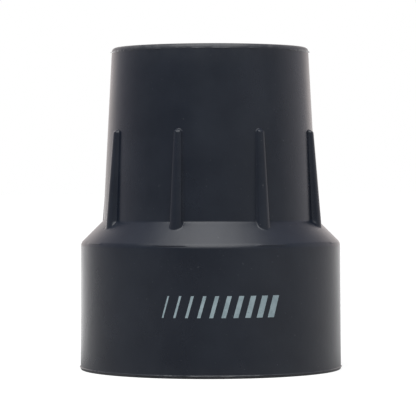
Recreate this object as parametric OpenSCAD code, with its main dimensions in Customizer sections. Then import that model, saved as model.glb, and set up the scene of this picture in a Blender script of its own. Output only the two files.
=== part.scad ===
// Rubber tip for the foot of a walking cane, moulded in one piece.
// Millimetres, +Z up. The origin is the centre of the sole, and the bore opens at the top.

/* [Outline] */
// Overall height, from the sole to the rim
total_h = 49.3; // [42:0.1:60]
// Diameter of the base at the sole
base_d = 40; // [38:0.1:56]
// Diameter of the base just under the shoulder
base_top_d = 39.8; // [37:0.1:56]
// Height of the base's side, from the sole to the edge of the shoulder
base_h = 19.4; // [16:0.1:24]
// Rise of the sloping shoulder between base and neck
shoulder_h = 3.35; // [1.5:0.1:6]
// Diameter of the neck where it leaves the shoulder
neck_foot_d = 32.9; // [30:0.1:36]
// Diameter of the neck at the rim
neck_rim_d = 30.1; // [26:0.1:32]

/* [Edges] */
// Radius of the rim's outer edge
rim_r = 0.5; // [0.2:0.05:0.6]
// Radius of the outer edge between base and shoulder
shoulder_edge_r = 0.7; // [0.2:0.05:1.5]
// Radius of the inner corner between shoulder and neck
neck_corner_r = 0.5; // [0.2:0.05:1.5]
// Radius of the edge round the sole
sole_edge_r = 0.2; // [0.1:0.05:0.3]

/* [Moulding lines] */
// How far the thin moulding lines stand out from the wall
flash_out = 0.15; // [0.05:0.01:0.3]
// Height of a moulding line where it leaves the wall
flash_w = 0.24; // [0.1:0.01:0.3]
// Depth of the upper moulding line below the rim
rim_flash_drop = 0.72; // [0.7:0.01:2]
// Height of the lower moulding line above the sole
sole_flash_rise = 0.4; // [0.4:0.01:2]

/* [Bore] */
// Diameter of the bore, for the cane's shaft
bore_d = 19; // [16:0.1:22]
// Depth of the bore below the rim
bore_depth = 37; // [30:0.5:40]
// Width of the chamfer at the bore's mouth
mouth_chamfer = 0.8; // [0.4:0.1:1.5]
// Radius round the bore's floor
bore_floor_r = 1.2; // [0.4:0.1:2]

/* [Tread] */
// Number of ring grooves in the sole
groove_n = 4; // [1:1:4]
// Width of a groove at the sole
groove_w = 1.8; // [1:0.1:2.2]
// Depth of a groove
groove_depth = 1.5; // [0.8:0.1:3]
// Slope of a groove's sides
groove_draft = 8; // [0:1:15]
// Width of the land between two grooves
land_w = 2.2; // [1.5:0.1:2.4]
// Width of the land outside the outer groove
outer_land_w = 3; // [2:0.1:4]

/* [Ribs] */
// Number of ribs round the neck
rib_n = 8; // [4:1:12]
// Height of the ribs' tips above the sole
rib_top_h = 36.4; // [28:0.1:40]
// Radius of a rib where it meets the shoulder
rib_foot_r = 1.15; // [0.8:0.05:1.8]
// Radius of a rib at its rounded tip
rib_tip_r = 0.68; // [0.3:0.02:0.8]
// Turn of the rib pattern about the axis
rib_turn = 27.5; // [0:0.5:45]

/* [Hidden] */
$fn = 180;
rubber_colour = [0.15, 0.17, 0.20];
// Ribs are small, so they take fewer facets in a preview
rib_fn = 48;
// Steps in the arc of a rounded edge
arc_steps = 6;
// Turn of a rib's ball tip, which keeps the ball's poles off the neck's wall
ball_turn = 30;
// Share of the ball's radius at which the rib's taper runs into it
ball_seat = 0.97;
// How far a cut runs past the face that it opens
past = 1;

bore_r = bore_d / 2;
neck_foot_h = base_h + shoulder_h;
bore_floor_h = total_h - bore_depth;
rim_flash_h = total_h - rim_flash_drop;
// The neck's lean from the vertical
neck_lean = atan2((neck_rim_d - neck_foot_d) / 2, total_h - neck_foot_h);

// Radius of the base's wall and of the neck's wall at a height
function base_radius(h) = (base_d + (base_top_d - base_d) * h / base_h) / 2;
function neck_radius(h) = neck_foot_d / 2 + (h - neck_foot_h) * tan(neck_lean);

// Points of the arc that rounds the corner p between the points a and b
function arc_points(a, p, b, r) =
    let (
        u = (a - p) / norm(a - p),
        v = (b - p) / norm(b - p),
        half = acos(u * v) / 2,
        centre = p + (u + v) / norm(u + v) * r / sin(half),
        start = p + u * r / tan(half) - centre,
        side = sign(start[0] * (p - centre)[1] - start[1] * (p - centre)[0]),
        sweep = side * (180 - 2 * half)
    )
    [for (i = [0 : arc_steps])
        let (t = sweep * i / arc_steps)
        centre + [start[0] * cos(t) - start[1] * sin(t), start[0] * sin(t) + start[1] * cos(t)]];

// Closed outline through corners given as [radius, height, rounding]
function rounded(corners) =
    let (n = len(corners), at = [for (c = corners) [c[0], c[1]]])
    [for (i = [0 : n - 1])
        each corners[i][2] > 0
            ? arc_points(at[(i + n - 1) % n], at[i], at[(i + 1) % n], corners[i][2])
            : [at[i]]];

// Section of the moulding, up the outside, over the rim and down the bore
module wall_section() {
    polygon(rounded([
        [0, 0, 0],
        [base_d / 2, 0, sole_edge_r],
        [base_radius(sole_flash_rise - flash_w / 2), sole_flash_rise - flash_w / 2, 0],
        [base_radius(sole_flash_rise) + flash_out, sole_flash_rise, 0],
        [base_radius(sole_flash_rise + flash_w / 2), sole_flash_rise + flash_w / 2, 0],
        [base_top_d / 2, base_h, shoulder_edge_r],
        [neck_foot_d / 2, neck_foot_h, neck_corner_r],
        [neck_radius(rim_flash_h - flash_w / 2), rim_flash_h - flash_w / 2, 0],
        [neck_radius(rim_flash_h) + flash_out, rim_flash_h, 0],
        [neck_radius(rim_flash_h + flash_w / 2), rim_flash_h + flash_w / 2, 0],
        [neck_rim_d / 2, total_h, rim_r],
        [bore_r + mouth_chamfer, total_h, 0],
        [bore_r, total_h - mouth_chamfer, 0],
        [bore_r, bore_floor_h, bore_floor_r],
        [0, bore_floor_h, 0]
    ]));
}

// Sections of the ring grooves in the sole
module tread_section() {
    outer_groove = base_d / 2 - outer_land_w - groove_w / 2;
    narrowing = groove_depth * tan(groove_draft);
    for (i = [0 : groove_n - 1])
        translate([outer_groove - i * (groove_w + land_w), 0])
            polygon([
                [-groove_w / 2, 0],
                [-groove_w / 2, -past],
                [groove_w / 2, -past],
                [groove_w / 2, 0],
                [groove_w / 2 - narrowing, groove_depth],
                [-groove_w / 2 + narrowing, groove_depth]
            ]);
}

// One half-round rib that lies along the neck's wall and narrows to a ball tip
module rib() {
    // The foot ends inside the shoulder, and the tip is the top of the ball
    foot_h = neck_foot_h - 2 * rib_foot_r;
    ball_h = rib_top_h - rib_tip_r;
    length = (ball_h - foot_h) / cos(neck_lean);
    translate([neck_radius(foot_h), 0, foot_h])
        rotate([0, neck_lean, 0]) {
            cylinder(h = length, r1 = rib_foot_r, r2 = rib_tip_r * ball_seat, $fn = rib_fn);
            translate([0, 0, length]) rotate([0, ball_turn, 0]) sphere(rib_tip_r, $fn = rib_fn);
        }
}

// The whole moulding
module rubber_tip() {
    color(rubber_colour) {
        rotate_extrude()
            difference() {
                wall_section();
                tread_section();
            }
        for (i = [0 : rib_n - 1])
            rotate([0, 0, rib_turn + i * 360 / rib_n]) rib();
    }
}

rubber_tip();
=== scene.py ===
import math

import bmesh
import bpy
from mathutils import Matrix, Vector, noise


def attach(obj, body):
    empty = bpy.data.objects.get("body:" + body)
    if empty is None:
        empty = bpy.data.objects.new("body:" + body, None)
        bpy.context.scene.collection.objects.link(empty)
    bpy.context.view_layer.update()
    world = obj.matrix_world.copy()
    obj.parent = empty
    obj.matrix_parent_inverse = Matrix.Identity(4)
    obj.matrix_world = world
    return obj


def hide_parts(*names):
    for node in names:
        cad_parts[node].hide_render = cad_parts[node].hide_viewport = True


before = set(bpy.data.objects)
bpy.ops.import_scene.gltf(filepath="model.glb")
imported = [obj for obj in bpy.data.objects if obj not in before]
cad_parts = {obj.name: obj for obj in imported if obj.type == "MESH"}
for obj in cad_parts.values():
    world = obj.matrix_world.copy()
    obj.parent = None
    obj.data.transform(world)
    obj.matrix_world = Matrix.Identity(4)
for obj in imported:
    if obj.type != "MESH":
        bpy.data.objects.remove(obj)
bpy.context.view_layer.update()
print("frame loaded")

mm = 0.001
fullTurn = 2 * math.pi


# Small node helpers.
def addNode(tree, kind, **settings):
    node = tree.nodes.new(kind)
    for key, value in settings.items():
        setattr(node, key, value)
    return node


def feed(tree, socket, value):
    if isinstance(value, bpy.types.NodeSocket):
        tree.links.new(value, socket)
    elif isinstance(value, tuple) and len(value) == 3 and socket.type == "RGBA":
        socket.default_value = (*value, 1)
    else:
        socket.default_value = value


def objectCoords(tree, stretch=(1, 1, 1)):
    coords = addNode(tree, "ShaderNodeTexCoord")
    mapping = addNode(tree, "ShaderNodeMapping")
    mapping.inputs["Scale"].default_value = stretch
    tree.links.new(coords.outputs["Object"], mapping.inputs["Vector"])
    return mapping.outputs["Vector"]


def noiseField(tree, scale, detail, roughness=0.5, stretch=(1, 1, 1)):
    tex = addNode(tree, "ShaderNodeTexNoise")
    tex.inputs["Scale"].default_value = scale
    tex.inputs["Detail"].default_value = detail
    tex.inputs["Roughness"].default_value = roughness
    tree.links.new(objectCoords(tree, stretch), tex.inputs["Vector"])
    return tex.outputs["Fac"]


def remap(tree, source, low, high, outLow, outHigh):
    node = addNode(tree, "ShaderNodeMapRange")
    feed(tree, node.inputs["Value"], source)
    for name, value in (("From Min", low), ("From Max", high), ("To Min", outLow), ("To Max", outHigh)):
        node.inputs[name].default_value = value
    return node.outputs["Result"]


def calc(tree, operation, first, second=0.0):
    node = addNode(tree, "ShaderNodeMath", operation=operation)
    feed(tree, node.inputs[0], first)
    feed(tree, node.inputs[1], second)
    return node.outputs[0]


# the colours of a Mix node are its inputs 6 and 7 and its output 2
def blendColours(tree, amount, first, second):
    node = addNode(tree, "ShaderNodeMix", data_type="RGBA")
    feed(tree, node.inputs[0], amount)
    feed(tree, node.inputs[6], first)
    feed(tree, node.inputs[7], second)
    return node.outputs[2]


def rampOf(tree, source, stops):
    node = addNode(tree, "ShaderNodeValToRGB")
    elements = node.color_ramp.elements
    while len(elements) < len(stops):
        elements.new(0.5)
    for element, (place, colour) in zip(elements, stops):
        element.position = place
        element.color = (*colour, 1)
    tree.links.new(source, node.inputs["Fac"])
    return node.outputs["Color"]


def bumpFrom(tree, height, distance, strength, under=None):
    node = addNode(tree, "ShaderNodeBump")
    node.inputs["Distance"].default_value = distance
    node.inputs["Strength"].default_value = strength
    tree.links.new(height, node.inputs["Height"])
    if under is not None:
        tree.links.new(under, node.inputs["Normal"])
    return node.outputs["Normal"]


def newMaterial(name):
    material = bpy.data.materials.new(name)
    material.use_nodes = True
    return material, material.node_tree, material.node_tree.nodes["Principled BSDF"]


# Moulded rubber.
rubberLook = {
    "clean": (0.0043, 0.0069, 0.0133),
    "handled": (0.0096, 0.0131, 0.0208),
    "dust": (0.13, 0.135, 0.145),
    # lighter grey of worn rubber, also laid on the rim's rounding as a painted highlight
    "wornAndRimHighlightColour": (0.066, 0.067, 0.070),
    # share of the lighter grey by height, strongest on the rim and round the sole: wear round the sole, and
    # on the rim's rounding a painted highlight along with wear
    "wearAndRimHighlightStops": (
        (0.0, 0.6), (0.2, 0.6), (0.45, 0.35), (0.6, 0.07), (2.5, 0.0),
        (45.8, 0.0), (48.6, 0.10), (48.75, 0.8), (49.14, 0.8), (49.22, 0.3),
    ),
    # noise behind the cloudy patches, the grains of dust, the patches of wear and painted rim highlight,
    # and the smears
    "patches": {"scale": 120, "detail": 6, "roughness": 0.6},
    "specks": {"scale": 2400, "detail": 2},
    "wearAndRimHighlight": {"scale": 700, "detail": 4, "roughness": 0.6},
    "smears": {"scale": 80, "detail": 5, "roughness": 0.6, "stretch": (1, 1, 0.5)},
    # the stretch of each noise that tells, and what it gives at both ends
    "patchRange": (0.35, 0.68, 0.0, 1.0),
    "speckRange": (0.72, 0.77, 0.0, 0.25),
    "wearAndRimHighlightRange": (0.32, 0.62, 0.35, 1.0),
    "sheenRange": (0.3, 0.7, 0.25, 0.33),
    "wearAndRimHighlightDulls": 0.25,        # added to the roughness where the wear and the painted rim highlight lie
    "grain": {"scale": 3600, "detail": 3, "roughness": 0.55},
    "grainDepth": 0.012 * mm,
    "grainStrength": 0.5,
    "ripple": {"scale": 520, "detail": 4, "roughness": 0.55},
    "rippleDepth": 0.045 * mm,
    "rippleStrength": 0.4,
    "refraction": 1.5,
}


def makeRubber():
    look = rubberLook
    material, tree, shader = newMaterial("mouldedRubber")
    cloud = remap(tree, noiseField(tree, **look["patches"]), *look["patchRange"])
    colour = blendColours(tree, cloud, look["clean"], look["handled"])
    grains = remap(tree, noiseField(tree, **look["specks"]), *look["speckRange"])
    colour = blendColours(tree, grains, colour, look["dust"])
    split = addNode(tree, "ShaderNodeSeparateXYZ")
    tree.links.new(objectCoords(tree), split.inputs[0])
    height = remap(tree, split.outputs["Z"], 0.0, tip["height"] * mm, 0.0, 1.0)
    # lighter grey by height, broken into patches: wear round the sole, and a painted highlight on the rim's
    # rounding
    stops = [(place / tip["height"], (share, share, share)) for place, share in look["wearAndRimHighlightStops"]]
    patchy = remap(tree, noiseField(tree, **look["wearAndRimHighlight"]), *look["wearAndRimHighlightRange"])
    wearAndRimHighlight = calc(tree, "MULTIPLY", rampOf(tree, height, stops), patchy)
    colour = blendColours(tree, wearAndRimHighlight, colour, look["wornAndRimHighlightColour"])
    tree.links.new(colour, shader.inputs["Base Color"])
    sheen = remap(tree, noiseField(tree, **look["smears"]), *look["sheenRange"])
    sheen = calc(tree, "ADD", sheen, calc(tree, "MULTIPLY", wearAndRimHighlight, look["wearAndRimHighlightDulls"]))
    tree.links.new(sheen, shader.inputs["Roughness"])
    grain = bumpFrom(tree, noiseField(tree, **look["grain"]), look["grainDepth"], look["grainStrength"])
    ripple = noiseField(tree, **look["ripple"])
    bumps = bumpFrom(tree, ripple, look["rippleDepth"], look["rippleStrength"], grain)
    tree.links.new(bumps, shader.inputs["Normal"])
    shader.inputs["IOR"].default_value = look["refraction"]
    return material


# The moulding, sizes in millimetres.
tip = {
    "height": 49.22,
    "baseRadius": 20.0,
    "baseTopRadius": 19.9,
    "baseHeight": 19.4,
    "shoulderRise": 3.41,
    "neckFootRadius": 16.45,
    "neckRimRadius": 15.05,
    "rimRound": 0.6,
    "shoulderRound": 1.15,
    "neckRound": 0.5,
    "soleRound": 0.2,
    "flashOut": 0.15,
    "flashHeight": 0.24,
    "rimFlashDrop": 0.68,
    "soleFlashRise": 0.4,
    "boreRadius": 9.5,
    "boreDepth": 37.0,
    "mouthChamfer": 0.8,
    "mouthRound": 0.25,
    "boreFloorRound": 1.2,
    "grooves": 4,
    "grooveWidth": 1.8,
    "grooveDepth": 1.5,
    "grooveNarrowing": 0.21,
    "grooveRound": 0.15,
    "landWidth": 2.2,
    "outerLand": 3.0,
    "spinSteps": 384,
    "leastSegments": 3,      # of a rounded corner, which gets more with its radius
    "segmentsPerMm": 8,
    "pole": 0.001,           # points nearer to the axis than this stay on it
    "merge": 0.0004,         # points nearer to each other than this are one
}
ribs = {
    "count": 8,
    "turn": math.radians(27.5 - 90),        # of one rib, counted from the front at -90
    "tipHeight": 36.6,
    "footHeight": 20.35,
    "footHalfWidth": 1.05,
    "tipHalfWidth": 0.61,
    "footRise": 1.16,        # how far a rib's crown stands off the wall
    "tipRise": 0.64,
    "crownShare": 1.3,       # radius of the domed crown, as a share of the half width
    "edgeShare": 0.05,       # rounding of the long edges, as a share of the half width
    "draft": math.radians(7),       # lean of a rib's sides
    "noseOut": 0.2,          # how far the nose's slope lies outside the rib's end
    "noseRound": 0.12,
    "melt": 0.06,            # how softly a rib runs into the wall
    "crease": math.radians(30),     # edges with a wider angle are shown sharp
    "reach": 2.2,            # widest distance from a rib's middle that is reshaped
    "clearance": 1.0,        # height above the tips up to which points are looked at
    "creaseShare": 1 / 3,    # softness of the crease under a rib, as a share of neckRound
    "touch": 0.002,          # a point with less than this of a rib over it is left alone
    "searchShare": 1.5,      # how far out a rib's face is looked for, in rises of its foot
    "halvings": 14,          # steps of the search
    # distances of the mesh columns from a rib's middle, with the rib's edge after the tenth
    "columns": (
        0.0, 0.14, 0.28, 0.42, 0.55, 0.66, 0.75, 0.82, 0.87, 0.90, 1.06, 1.10, 1.16, 1.26,
        1.42, 1.66, 2.0,
    ),
    "lastNear": 12,          # the last column that follows a rib's whole taper
}
flash = {
    "rimKeep": 0.06,         # the least share of the fin that is left
    "rimWhole": 0.22,        # the share that is left on average
    "rimMost": 1.5,
    "soleKeep": 0.3,
    "soleWhole": 0.62,
    "soleMost": 0.94,
    "stretch": 0.24,         # noise scale of the long torn stretches
    "nick": 1.5,             # noise scale of the short nicks
    "stretchDepth": 0.7,
    "nickDepth": 1.1,
    "sides": 1.3,            # the fins stand out whole at the left and right
    "sidePower": 12,         # how narrow those two stretches are
    "sway": 0.07,            # how far a fin's edge wanders up and down
    "swayScale": 0.75,
    "shift": (3.1, 7.7),     # place in the noise
    "level": 0.01,           # points within this height are on one line
}
neckFoot = tip["baseHeight"] + tip["shoulderRise"]
wallUp = Vector((tip["neckRimRadius"] - tip["neckFootRadius"], 0, tip["height"] - neckFoot)).normalized()
# heights on the neck where the spacing of the mesh rows changes
wallMarks = {
    "footEnd": neckFoot + 1.6,
    "noseStart": ribs["tipHeight"] - 1.3,
    "noseEnd": ribs["tipHeight"] + 0.4,
}
# widest spacing of the mesh rows
rowSteps = {
    "hidden": 6.0,
    "hiddenEnd": 1.0,        # height up to which the sole counts as hidden
    "drum": 2.0,
    "drumEnd": tip["baseHeight"] - 0.5,
    "shoulder": 0.16,
    "foot": 0.2,
    "rib": 0.5,
    "nose": 0.07,
    "neck": 1.4,
}


def neckRadius(height):
    top = tip["height"] - neckFoot
    share = (height - neckFoot) / top
    return tip["neckFootRadius"] + (tip["neckRimRadius"] - tip["neckFootRadius"]) * share


def baseRadius(height):
    return tip["baseRadius"] + (tip["baseTopRadius"] - tip["baseRadius"]) * height / tip["baseHeight"]


# corners of the section as radius, height and rounding, from the sole's middle to the bore's floor
def sectionCorners():
    corners = [(0, 0, 0)]
    pitch = tip["grooveWidth"] + tip["landWidth"]
    outer = tip["baseRadius"] - tip["outerLand"] - tip["grooveWidth"] / 2
    half = tip["grooveWidth"] / 2
    floor = half - tip["grooveNarrowing"]
    for i in reversed(range(tip["grooves"])):
        middle = outer - i * pitch
        for radius, height in ((middle - half, 0), (middle - floor, tip["grooveDepth"]),
                               (middle + floor, tip["grooveDepth"]), (middle + half, 0)):
            corners.append((radius, height, tip["grooveRound"]))
    fin = tip["flashHeight"] / 2
    low = tip["soleFlashRise"]
    high = tip["height"] - tip["rimFlashDrop"]
    floorHeight = tip["height"] - tip["boreDepth"]
    corners += [
        (tip["baseRadius"], 0, tip["soleRound"]),
        (baseRadius(low - fin), low - fin, 0),
        (baseRadius(low) + tip["flashOut"], low, 0),
        (baseRadius(low + fin), low + fin, 0),
        (tip["baseTopRadius"], tip["baseHeight"], tip["shoulderRound"]),
        (tip["neckFootRadius"], neckFoot, tip["neckRound"]),
    ]
    corners += [(neckRadius(height), height, 0) for height in wallMarks.values()]
    corners += [
        (neckRadius(high - fin), high - fin, 0),
        (neckRadius(high) + tip["flashOut"], high, 0),
        (neckRadius(high + fin), high + fin, 0),
        (tip["neckRimRadius"], tip["height"], tip["rimRound"]),
        (tip["boreRadius"] + tip["mouthChamfer"], tip["height"], tip["mouthRound"]),
        (tip["boreRadius"], tip["height"] - tip["mouthChamfer"], tip["mouthRound"]),
        (tip["boreRadius"], floorHeight, tip["boreFloorRound"]),
        (0, floorHeight, 0),
    ]
    return corners


# longest edge that the section may have at a place
def longestStep(place):
    if place.x < tip["boreRadius"] + tip["mouthChamfer"] or place.z < rowSteps["hiddenEnd"]:
        return rowSteps["hidden"]
    if place.z < rowSteps["drumEnd"]:
        return rowSteps["drum"]
    if place.z < neckFoot:
        return rowSteps["shoulder"]
    if place.z < wallMarks["footEnd"]:
        return rowSteps["foot"]
    if place.z < wallMarks["noseStart"]:
        return rowSteps["rib"]
    if place.z < wallMarks["noseEnd"]:
        return rowSteps["nose"]
    return rowSteps["neck"]


# one open line of edges in the XZ plane, its corners rounded and its long edges divided
def makeSection(bm):
    corners = sectionCorners()
    points = [bm.verts.new((radius, 0, height)) for radius, height, rounding in corners]
    places = [point.co.copy() for point in points]
    for first, second in zip(points, points[1:]):
        bm.edges.new((first, second))
    for i in range(1, len(points) - 1):
        rounding = corners[i][2]
        if rounding:
            turn = (places[i] - places[i - 1]).angle(places[i + 1] - places[i])
            segments = tip["leastSegments"] + round(tip["segmentsPerMm"] * rounding)
            bmesh.ops.bevel(bm, geom=[points[i]], offset=rounding * math.tan(turn / 2),
                            offset_type="OFFSET", segments=segments, profile=0.5,
                            affect="VERTICES", material=-1)
    for edge in list(bm.edges):
        middle = (edge.verts[0].co + edge.verts[1].co) / 2
        cuts = math.ceil(edge.calc_length() / longestStep(middle)) - 1
        if cuts > 0:
            bmesh.ops.subdivide_edges(bm, edges=[edge], cuts=cuts)


# distances of the columns from a rib's middle, up to halfway to the next rib
def columnPlaces():
    places = list(ribs["columns"])
    halfway = math.pi / ribs["count"] * tip["neckFootRadius"]
    spare = tip["spinSteps"] // ribs["count"] // 2 + 1 - len(places)
    step = (halfway - places[-1]) / spare
    return places + [places[-1] + step * (i + 1) for i in range(spare)]


def clamp(value):
    return min(1, max(0, value))


# columns crowd at the ribs' edges and follow their taper, so that the ribs' narrow sides are smooth
def gatherColumns(bm):
    count = ribs["count"]
    places = columnPlaces()
    inner = ribs["columns"][ribs["lastNear"]]
    for vert in bm.verts:
        radius = math.hypot(vert.co.x, vert.co.y)
        if radius < tip["pole"]:
            continue
        angle = math.atan2(vert.co.y, vert.co.x)
        nearest = round(angle * count / fullTurn) * fullTurn / count
        side = places[round(abs(angle - nearest) * tip["spinSteps"] / fullTurn)]
        up = clamp((vert.co.z - ribs["footHeight"]) / (ribs["tipHeight"] - ribs["footHeight"]))
        down = clamp((tip["height"] - vert.co.z) / (tip["height"] - ribs["tipHeight"]))
        away = clamp((side - inner) / (ribs["reach"] - inner))
        near = 1 - away * away * (3 - 2 * away)
        side *= 1 - up * down * near * (1 - ribs["tipHalfWidth"] / ribs["footHalfWidth"])
        foot = tip["neckFootRadius"]
        wall = foot + (min(foot, neckRadius(vert.co.z)) - foot) * near
        angle = nearest + math.copysign(side / wall, angle - nearest) + ribs["turn"]
        vert.co.x = radius * math.cos(angle)
        vert.co.y = radius * math.sin(angle)


def smoothMin(first, second, width):
    closeness = max(width - abs(first - second), 0.0) / width
    return min(first, second) - closeness * closeness * width / 4


def smoothMax(first, second, width):
    return -smoothMin(-first, -second, width)


# distance outside the neck and shoulder without ribs
def wallDistance(radius, height):
    neckSlope = (tip["neckFootRadius"] - tip["neckRimRadius"]) / (tip["height"] - neckFoot)
    neck = (radius - neckRadius(height)) / math.hypot(1, neckSlope)
    run = tip["baseTopRadius"] - tip["neckFootRadius"]
    rise = tip["shoulderRise"]
    shoulder = ((radius - tip["neckFootRadius"]) * rise + (height - neckFoot) * run) / math.hypot(run, rise)
    return smoothMin(neck, shoulder, tip["neckRound"] * ribs["creaseShare"])


# distance outside one rib: a bar with a domed crown that narrows up the wall to a nose cut at 45 degrees
def ribDistance(radius, side, height):
    up = height - ribs["footHeight"]
    out = radius - neckRadius(ribs["footHeight"])
    along = up * wallUp.z + out * wallUp.x
    rise = out * wallUp.z - up * wallUp.x
    length = (ribs["tipHeight"] - ribs["footHeight"]) / wallUp.z
    share = clamp(along / length)
    halfWidth = ribs["footHalfWidth"] + (ribs["tipHalfWidth"] - ribs["footHalfWidth"]) * share
    top = ribs["footRise"] + (ribs["tipRise"] - ribs["footRise"]) * share
    edge = halfWidth * ribs["edgeShare"]
    across = math.hypot(max(0, along - length + halfWidth), side) - halfWidth
    flank = across * math.cos(ribs["draft"]) + rise * math.sin(ribs["draft"]) + edge
    dome = halfWidth * ribs["crownShare"]
    above = math.hypot(side, rise - top + dome) - dome + edge
    bar = math.hypot(max(flank, 0), max(above, 0)) + min(max(flank, above), 0) - edge
    nose = (along - length - ribs["noseOut"] + rise) * math.sqrt(0.5)
    return smoothMax(bar, nose, ribs["noseRound"])


def insideRibbedWall(radius, offset, height):
    rib = ribDistance(radius * math.cos(offset), radius * math.sin(offset), height)
    return smoothMin(wallDistance(radius, height), rib, ribs["melt"]) < 0


# points on the plain wall move straight outwards to the ribs' faces
def raiseRibs(bm):
    count, turn = ribs["count"], ribs["turn"]
    top = ribs["tipHeight"] + ribs["clearance"]
    raised = 0
    for vert in bm.verts:
        x, y, height = vert.co
        radius = math.hypot(x, y)
        if radius < tip["neckRimRadius"] or not tip["baseHeight"] < height < top:
            continue
        angle = math.atan2(y, x) - turn
        nearest = round(angle * count / fullTurn) * fullTurn / count
        offset = angle - nearest
        if abs(offset) * radius > ribs["reach"]:
            continue
        if not insideRibbedWall(radius + ribs["touch"], offset, height):
            continue
        low, high = radius, radius + ribs["footRise"] * ribs["searchShare"]
        for i in range(ribs["halvings"]):
            middle = (low + high) / 2
            low, high = (middle, high) if insideRibbedWall(middle, offset, height) else (low, middle)
        vert.co.x, vert.co.y = x * low / radius, y * low / radius
        raised += 1
    for edge in bm.edges:
        if tip["baseHeight"] < edge.verts[0].co.z < top:
            edge.smooth = edge.calc_face_angle(0) < ribs["crease"]
    return raised


# the two fins with their heights, the walls under them and how torn they are
def flashFins():
    rim = (tip["height"] - tip["rimFlashDrop"], neckRadius)
    sole = (tip["soleFlashRise"], baseRadius)
    return (
        (*rim, flash["rimKeep"], flash["rimWhole"], flash["rimMost"]),
        (*sole, flash["soleKeep"], flash["soleWhole"], flash["soleMost"]),
    )


# the outermost points of a fin with their radius
def finRidge(bm, height, wall):
    ridge = []
    for vert in bm.verts:
        radius = math.hypot(vert.co.x, vert.co.y)
        if abs(vert.co.z - height) < flash["level"] and radius > wall(height) + tip["flashOut"] / 2:
            ridge.append((vert, radius))
    return ridge


# a fin is creased along its ridge and along both of its feet
def creaseFin(ridge):
    for vert, radius in ridge:
        for edge in vert.link_edges:
            edge.smooth = False
            foot = edge.other_vert(vert)
            for side in foot.link_edges:
                if abs(side.other_vert(foot).co.z - foot.co.z) < flash["level"]:
                    side.smooth = False


# the thin seam fins are torn here and there
def tearFlash(bm):
    for height, wall, keep, whole, most in flashFins():
        shift = Vector((*flash["shift"], height))
        ridge = finRidge(bm, height, wall)
        creaseFin(ridge)
        for vert, radius in ridge:
            torn = flash["stretchDepth"] * noise.noise(vert.co * flash["stretch"] + shift)
            nicked = flash["nickDepth"] * noise.noise(vert.co * flash["nick"] + shift)
            sides = flash["sides"] * abs(vert.co.x / radius) ** flash["sidePower"]
            share = min(most, max(keep, whole + torn + nicked + sides))
            ragged = wall(height) + tip["flashOut"] * share
            vert.co.z += flash["sway"] * noise.noise(vert.co * flash["swayScale"] - shift)
            vert.co.x *= ragged / radius
            vert.co.y *= ragged / radius


def makeMoulding():
    bm = bmesh.new()
    makeSection(bm)
    rows = len(bm.verts)
    bmesh.ops.spin(bm, geom=bm.verts[:] + bm.edges[:], cent=(0, 0, 0), axis=(0, 0, 1),
                   dvec=(0, 0, 0), angle=fullTurn, steps=tip["spinSteps"], use_merge=True,
                   use_duplicate=False)
    gatherColumns(bm)
    raised = raiseRibs(bm)
    tearFlash(bm)
    bmesh.ops.remove_doubles(bm, verts=bm.verts, dist=tip["merge"])
    bmesh.ops.recalc_face_normals(bm, faces=bm.faces)
    bmesh.ops.scale(bm, vec=(mm, mm, mm), verts=bm.verts)
    mesh = bpy.data.meshes.new("moulding")
    bm.to_mesh(mesh)
    bm.free()
    print("moulding:", rows, "rows,", len(mesh.polygons), "faces,", raised, "points on ribs")
    return mesh


def addPiece(name, mesh, material, smooth=True):
    for face in mesh.polygons:
        face.use_smooth = smooth
    mesh.materials.append(material)
    piece = bpy.data.objects.new(name, mesh)
    bpy.context.scene.collection.objects.link(piece)
    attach(piece, "root")
    return piece


moulding = addPiece("moulding", makeMoulding(), makeRubber())
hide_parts("rubber_tip")
print("moulding made")

# Printed bars, a plain pattern on the front of the base.
bars = {
    "count": 10,
    "left": math.radians(-22),      # seen from the front, round the drum
    "right": math.radians(30),
    "bottom": 8.9 * mm,
    "top": 12.1 * mm,
    "lean": 0.9 * mm,               # how far the top of a bar stands to the right
    "thinnest": 0.25 * mm,
    "boldest": 1.0 * mm,
    "ink": 0.02 * mm,               # how far the print stands off the wall
    "root": 0.05 * mm,              # how deep its bars reach into the wall
    "slices": 6,                    # faces along each side of a bar, so that it follows the wall
    "straight": 0.1 * mm,           # an edge that spans less than this runs the other way
}
inkLook = {
    "full": (0.255, 0.325, 0.348),
    "worn": (0.200, 0.262, 0.282),
    "bare": (0.03, 0.038, 0.045),
    "wear": {"scale": 900, "detail": 5, "roughness": 0.6},
    "wearRange": (0.35, 0.6, 0.0, 1.0),
    "sheenRange": (0.3, 0.7, 0.47, 0.63),
    "pits": {"scale": 4500, "detail": 2},
    "pitRange": (0.7, 0.76, 0.0, 0.8),
    "pitDepth": 0.01 * mm,
    "pitStrength": 0.5,
}


def makeInk():
    look = inkLook
    material, tree, shader = newMaterial("printInk")
    wear = noiseField(tree, **look["wear"])
    colour = blendColours(tree, remap(tree, wear, *look["wearRange"]), look["worn"], look["full"])
    pits = noiseField(tree, **look["pits"])
    colour = blendColours(tree, remap(tree, pits, *look["pitRange"]), colour, look["bare"])
    tree.links.new(colour, shader.inputs["Base Color"])
    tree.links.new(remap(tree, wear, *look["sheenRange"]), shader.inputs["Roughness"])
    tree.links.new(bumpFrom(tree, pits, look["pitDepth"], look["pitStrength"]), shader.inputs["Normal"])
    return material


# edges of a mesh that reach further than a hair along one axis
def edgesAlong(bm, axis):
    ends = [(edge, edge.verts[0].co[axis], edge.verts[1].co[axis]) for edge in bm.edges]
    return [edge for edge, first, second in ends if abs(first - second) > bars["straight"]]


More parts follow.
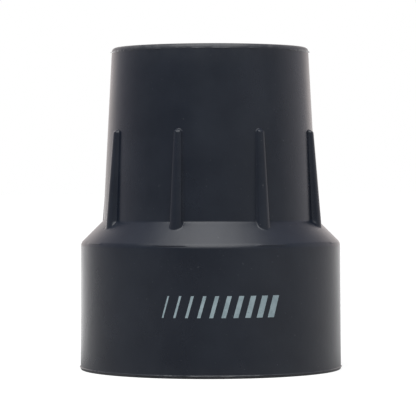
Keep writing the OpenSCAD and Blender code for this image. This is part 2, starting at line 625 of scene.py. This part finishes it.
# bars are made flat and then laid round the drum
def makeBars():
    bm = bmesh.new()
    height = bars["top"] - bars["bottom"]
    centre = (bars["top"] + bars["bottom"]) / 2
    radius = baseRadius(centre / mm) * mm
    pitch = (bars["right"] - bars["left"]) * radius / bars["count"]
    for i in range(bars["count"]):
        share = i / (bars["count"] - 1)
        width = bars["thinnest"] + (bars["boldest"] - bars["thinnest"]) * share
        made = bmesh.ops.create_cube(bm, size=1)["verts"]
        bmesh.ops.scale(bm, vec=(width, bars["ink"] + bars["root"], height), verts=made)
        middle = bars["left"] * radius + (i + 0.5) * pitch
        depth = (bars["ink"] - bars["root"]) / 2
        bmesh.ops.translate(bm, vec=(middle, depth, centre), verts=made)
    for axis in (0, 2):
        bmesh.ops.subdivide_edges(bm, edges=edgesAlong(bm, axis), cuts=bars["slices"] - 1,
                                  use_grid_fill=True)
    for vert in bm.verts:
        x, out, height = vert.co
        x += bars["lean"] * (height - centre) / (bars["top"] - bars["bottom"])
        angle = x / radius - math.pi / 2
        reach = baseRadius(height / mm) * mm + out
        vert.co = (reach * math.cos(angle), reach * math.sin(angle), height)
    bmesh.ops.recalc_face_normals(bm, faces=bm.faces)
    mesh = bpy.data.meshes.new("printedBars")
    bm.to_mesh(mesh)
    bm.free()
    return mesh


addPiece("printedBars", makeBars(), makeInk(), smooth=False)
print("printed bars made")

# Studio with a pale floor, a soft lamp and a pale room that is darker on the camera's side.
studio = {
    "floorSize": 6.0,
    "floorColour": (0.22, 0.22, 0.22),
    "floorLift": 0.80,            # added for the camera only, so that the floor is white
    # painted light: a glow the floor gives only in reflections, from the left round the camera's side
    # (0.25), the right (0.5) and the back (0.75) to the left again
    "floorReflectionGlowStops": (
        (0.00, 0.16), (0.04, 0.13), (0.10, 0.14), (0.18, 0.03), (0.25, 0.00), (0.32, 0.04),
        (0.355, 0.12), (0.40, 0.22), (0.46, 0.27), (0.50, 0.30), (0.53, 0.33), (0.57, 0.42),
        (0.62, 0.54), (0.66, 0.80), (0.69, 1.20), (0.75, 1.80), (0.81, 1.60), (0.84, 1.18),
        (0.875, 0.72), (0.92, 0.36), (0.97, 0.24), (1.00, 0.16),
    ),
    # light from the room, from the camera's side to the back
    "roomStops": (
        (0.00, (0.125, 0.130, 0.142)),
        (0.06, (0.215, 0.225, 0.246)),
        (0.14, (0.28, 0.29, 0.32)),
        (0.30, (0.31, 0.32, 0.35)),
        (0.50, (0.37, 0.37, 0.41)),
        (0.75, (0.54, 0.52, 0.58)),
        (0.86, (0.80, 0.76, 0.80)),
        (0.93, (1.30, 1.20, 1.18)),
    ),
    "fadeFrom": 0.2,              # the room is darker above this height of the view's direction
    "fadeTo": 0.55,
    "fadeShare": 0.68,
    # soft lights on the room's walls: edge and core are cosines of the angle off the aim
    "glows": {
        "overhead": {"aim": (-0.04, -0.44, 1.0), "edge": 0.70, "core": 0.99, "level": 3.0},
        "front": {"aim": (0.0, -1.0, 0.6), "edge": 0.82, "core": 0.99, "level": 0.24},
        "frontRight": {"aim": (0.72, -0.695, 0.1), "edge": 0.81, "core": 0.99, "level": 0.2},
        "right": {"aim": (0.95, 0.28, 0.2), "edge": 0.84, "core": 0.99, "level": 0.24},
    },
}
lamps = {
    "frontTop": {"place": (-0.25, -0.55, 0.95), "size": (0.7, 0.5), "power": 9.0},
}


def makeFloor():
    bm = bmesh.new()
    bmesh.ops.create_grid(bm, x_segments=1, y_segments=1, size=studio["floorSize"] / 2)
    mesh = bpy.data.meshes.new("floor")
    bm.to_mesh(mesh)
    bm.free()
    material = bpy.data.materials.new("paleFloor")
    material.use_nodes = True
    tree = material.node_tree
    tree.nodes.clear()
    matte = addNode(tree, "ShaderNodeBsdfDiffuse")
    feed(tree, matte.inputs["Color"], studio["floorColour"])
    glow = addNode(tree, "ShaderNodeEmission")
    path = addNode(tree, "ShaderNodeLightPath")
    lift = calc(tree, "MULTIPLY", path.outputs["Is Camera Ray"], studio["floorLift"])
    around = addNode(tree, "ShaderNodeTexGradient", gradient_type="RADIAL")
    tree.links.new(objectCoords(tree), around.inputs[0])
    stops = [(place, (level, level, level)) for place, level in studio["floorReflectionGlowStops"]]
    level = rampOf(tree, around.outputs["Fac"], stops)
    # painted light: the floor glows only where reflections of it are seen
    mirrored = calc(tree, "MULTIPLY", path.outputs["Is Glossy Ray"], level)
    tree.links.new(calc(tree, "ADD", lift, mirrored), glow.inputs["Strength"])
    both = addNode(tree, "ShaderNodeAddShader")
    tree.links.new(matte.outputs[0], both.inputs[0])
    tree.links.new(glow.outputs[0], both.inputs[1])
    out = addNode(tree, "ShaderNodeOutputMaterial")
    tree.links.new(both.outputs[0], out.inputs["Surface"])
    floor = bpy.data.objects.new("floor", mesh)
    bpy.context.scene.collection.objects.link(floor)
    mesh.materials.append(material)


def makeRoom():
    world = bpy.data.worlds.new("studioRoom")
    bpy.context.scene.world = world
    world.use_nodes = True
    tree = world.node_tree
    tree.nodes.clear()
    coords = addNode(tree, "ShaderNodeTexCoord")
    split = addNode(tree, "ShaderNodeSeparateXYZ")
    tree.links.new(coords.outputs["Generated"], split.inputs[0])
    depth = remap(tree, split.outputs["Y"], -1.0, 1.0, 0.0, 1.0)
    walls = rampOf(tree, depth, studio["roomStops"])
    fade = remap(tree, split.outputs["Z"], studio["fadeFrom"], studio["fadeTo"], 1.0, studio["fadeShare"])
    total = addNode(tree, "ShaderNodeVectorMath", operation="SCALE")
    tree.links.new(walls, total.inputs[0])
    tree.links.new(fade, total.inputs["Scale"])
    for glow in studio["glows"].values():
        facing = addNode(tree, "ShaderNodeVectorMath", operation="DOT_PRODUCT")
        tree.links.new(coords.outputs["Generated"], facing.inputs[0])
        facing.inputs[1].default_value = Vector(glow["aim"]).normalized()
        spot = remap(tree, facing.outputs["Value"], glow["edge"], glow["core"], 0.0, glow["level"])
        spot.node.interpolation_type = "SMOOTHSTEP"
        brighter = addNode(tree, "ShaderNodeVectorMath", operation="ADD")
        tree.links.new(total.outputs[0], brighter.inputs[0])
        tree.links.new(spot, brighter.inputs[1])
        total = brighter
    light = addNode(tree, "ShaderNodeBackground")
    tree.links.new(total.outputs[0], light.inputs["Color"])
    white = addNode(tree, "ShaderNodeBackground")
    feed(tree, white.inputs["Color"], (1.0, 1.0, 1.0))
    path = addNode(tree, "ShaderNodeLightPath")
    pick = addNode(tree, "ShaderNodeMixShader")
    tree.links.new(path.outputs["Is Camera Ray"], pick.inputs[0])
    tree.links.new(light.outputs[0], pick.inputs[1])
    tree.links.new(white.outputs[0], pick.inputs[2])
    out = addNode(tree, "ShaderNodeOutputWorld")
    tree.links.new(pick.outputs[0], out.inputs["Surface"])


def makeLamps():
    aim = Vector((0, 0, tip["height"] / 2 * mm))
    for name, lamp in lamps.items():
        data = bpy.data.lights.new(name, "AREA")
        data.shape = "RECTANGLE"
        data.size, data.size_y = lamp["size"]
        data.energy = lamp["power"]
        thing = bpy.data.objects.new(name, data)
        thing.location = lamp["place"]
        thing.visible_glossy = False        # a fill that leaves no spot on the rubber
        thing.rotation_euler = (aim - Vector(lamp["place"])).to_track_quat("-Z", "Y").to_euler()
        bpy.context.scene.collection.objects.link(thing)


view = {
    "distance": 0.371,
    "aside": -0.000376,
    "height": 0.030,
    "pitch": math.radians(0.824),   # how far the camera looks down
    "roll": math.radians(-0.15),
    "focal": 2413,               # in pixels of the 416 pixel frame
    "frame": 416,
    "sensor": 36,
}


def makeCamera():
    data = bpy.data.cameras.new("camera")
    data.sensor_width = view["sensor"]
    data.lens = view["focal"] * view["sensor"] / view["frame"]
    camera = bpy.data.objects.new("camera", data)
    camera.location = (view["aside"], -view["distance"], view["height"])
    tilt = Matrix.Rotation(math.pi / 2 - view["pitch"], 4, "X") @ Matrix.Rotation(view["roll"], 4, "Z")
    camera.rotation_euler = tilt.to_euler()
    bpy.context.scene.collection.objects.link(camera)
    bpy.context.scene.camera = camera


makeFloor()
makeRoom()
makeLamps()
makeCamera()
bpy.context.scene.view_settings.view_transform = "Standard"
print("studio made")
